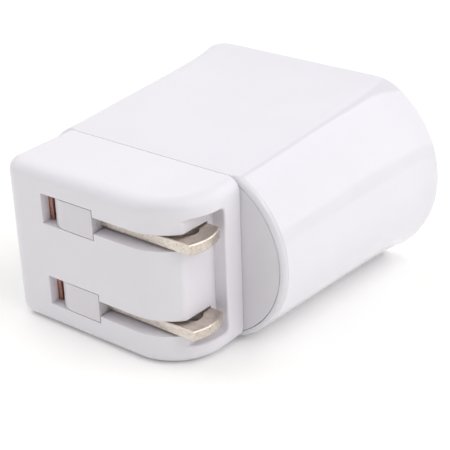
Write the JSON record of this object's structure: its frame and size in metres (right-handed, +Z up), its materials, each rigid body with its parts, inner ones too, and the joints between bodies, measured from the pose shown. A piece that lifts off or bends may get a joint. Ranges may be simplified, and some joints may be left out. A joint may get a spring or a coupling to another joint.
{
  "type": "usb wall charger",
  "caption": "White USB wall charger with an oval flared body and a square plug block whose flat mains blades fold sideways into slots and swing out to plug in.",
  "frame": {"origin": "on the plug face, the flat face of the plug block that meets the wall socket, where the long centre line of the charger crosses it, midway in height between the two blades", "axes": "-Y out of the plug face towards the wall, +Y towards the USB ports, +Z up with the charger lying on a broad flat side, +X the way the folded blades point"},
  "size_m": [0.0498, 0.0493, 0.029],
  "materials": {
    "shell_white": "glossy moulded ABS/PC, faintly cool white",
    "plug_white": "satin-gloss moulded plastic, faintly cool white",
    "plate_white": "satin moulded plastic",
    "inner_white": "plain moulded plastic",
    "nickel": "bright nickel plating over brass, slightly pitted at the cut edges",
    "copper": "bare copper alloy",
    "spring_steel": "bright rolled spring steel",
    "usb_steel": "tin-plated folded steel",
    "gold_contact": "gold-plated",
    "insulator_white": "plain moulded insulator",
    "board_green": "green solder mask",
    "ferrite": "dull sintered ferrite",
    "tape_yellow": "wound polyester tape",
    "sleeve_black": "shrunk plastic sleeve",
    "resistor_green": "dull dipped coating",
    "disc_blue": "dipped epoxy",
    "chip_black": "moulded epoxy",
    "wire_black": "extruded insulation"
  },
  "bodies": {
    "housing": {"main_shell": "shell_white", "front_plate": "plate_white", "rear_cover": "plate_white", "plug_housing": "plug_white", "rotor_cradle": "inner_white", "detent_spring": "spring_steel", "contact_spring_upper": "copper", "contact_spring_lower": "copper", "mains_wire_upper": "wire_black", "mains_wire_lower": "wire_black", "usb_shell_left": "usb_steel", "usb_shell_right": "usb_steel", "usb_tongue_left": "insulator_white", "usb_tongue_right": "insulator_white", "usb_contacts_left": "gold_contact", "usb_contacts_right": "gold_contact", "circuit_board": "board_green", "transformer_core": "ferrite", "transformer_bobbin": "chip_black", "transformer_winding": "tape_yellow", "input_capacitor_front": "sleeve_black", "input_capacitor_rear": "sleeve_black", "output_capacitor": "sleeve_black", "fuse_resistor": "resistor_green", "input_choke": "ferrite", "safety_capacitor": "disc_blue", "bridge_rectifier": "chip_black", "controller_chip": "chip_black", "optocoupler": "chip_black", "output_diode": "chip_black", "chip_resistors": "chip_black"},
    "folding_plug": {"blade_rotor": "plug_white", "blade_upper": "nickel", "blade_lower": "nickel"}
  },
  "joints": [
    {"name": "plug_fold", "type": "hinge", "parent": "housing", "child": "folding_plug", "pos_m": [-0.00377, 0.00428, 0], "axis": [0, 0, -1], "range_deg": [0, 90]}
  ]
}
